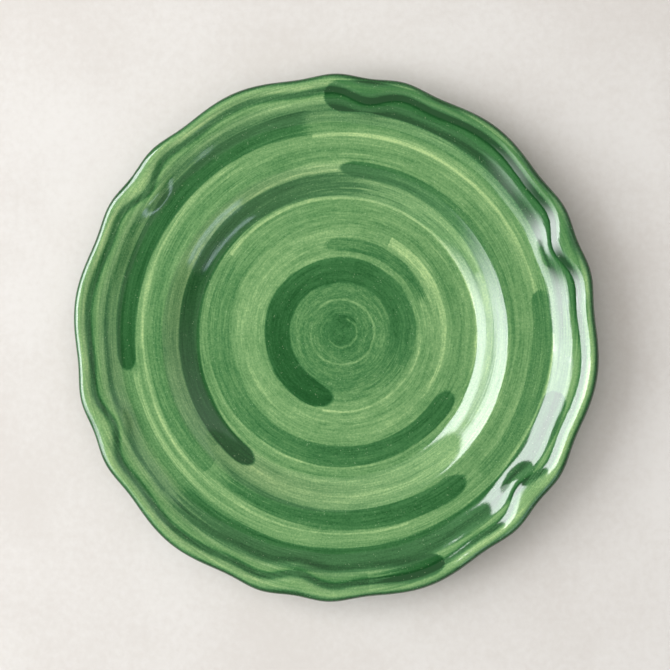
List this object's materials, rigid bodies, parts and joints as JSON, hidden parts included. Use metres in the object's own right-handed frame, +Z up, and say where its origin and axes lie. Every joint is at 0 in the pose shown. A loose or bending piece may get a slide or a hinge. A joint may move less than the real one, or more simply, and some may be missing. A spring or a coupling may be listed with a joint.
{
  "type": "dinner plate",
  "caption": "Glossy green hand-painted ceramic dinner plate with a scalloped petal rim, a round well and a foot ring, resting face up",
  "frame": {"origin": "centre of the plate on the plane that the foot ring stands on", "axes": "+Z up through the plate's centre, out of the eating face; +X and +Y lie in the plane of the table"},
  "size_m": [0.2784, 0.2786, 0.028],
  "materials": {
    "fired_clay": "matte, unglazed, seen on the sole of the foot ring",
    "painted_face_glaze": "glossy, with dark green brush strokes over a light green ground",
    "back_glaze": "glossy, plain green wash"
  },
  "bodies": {
    "root": {"clay_body": "fired_clay", "face_glaze": "painted_face_glaze", "back_glaze": "back_glaze", "foot_recess_glaze": "back_glaze"}
  },
  "joints": []
}
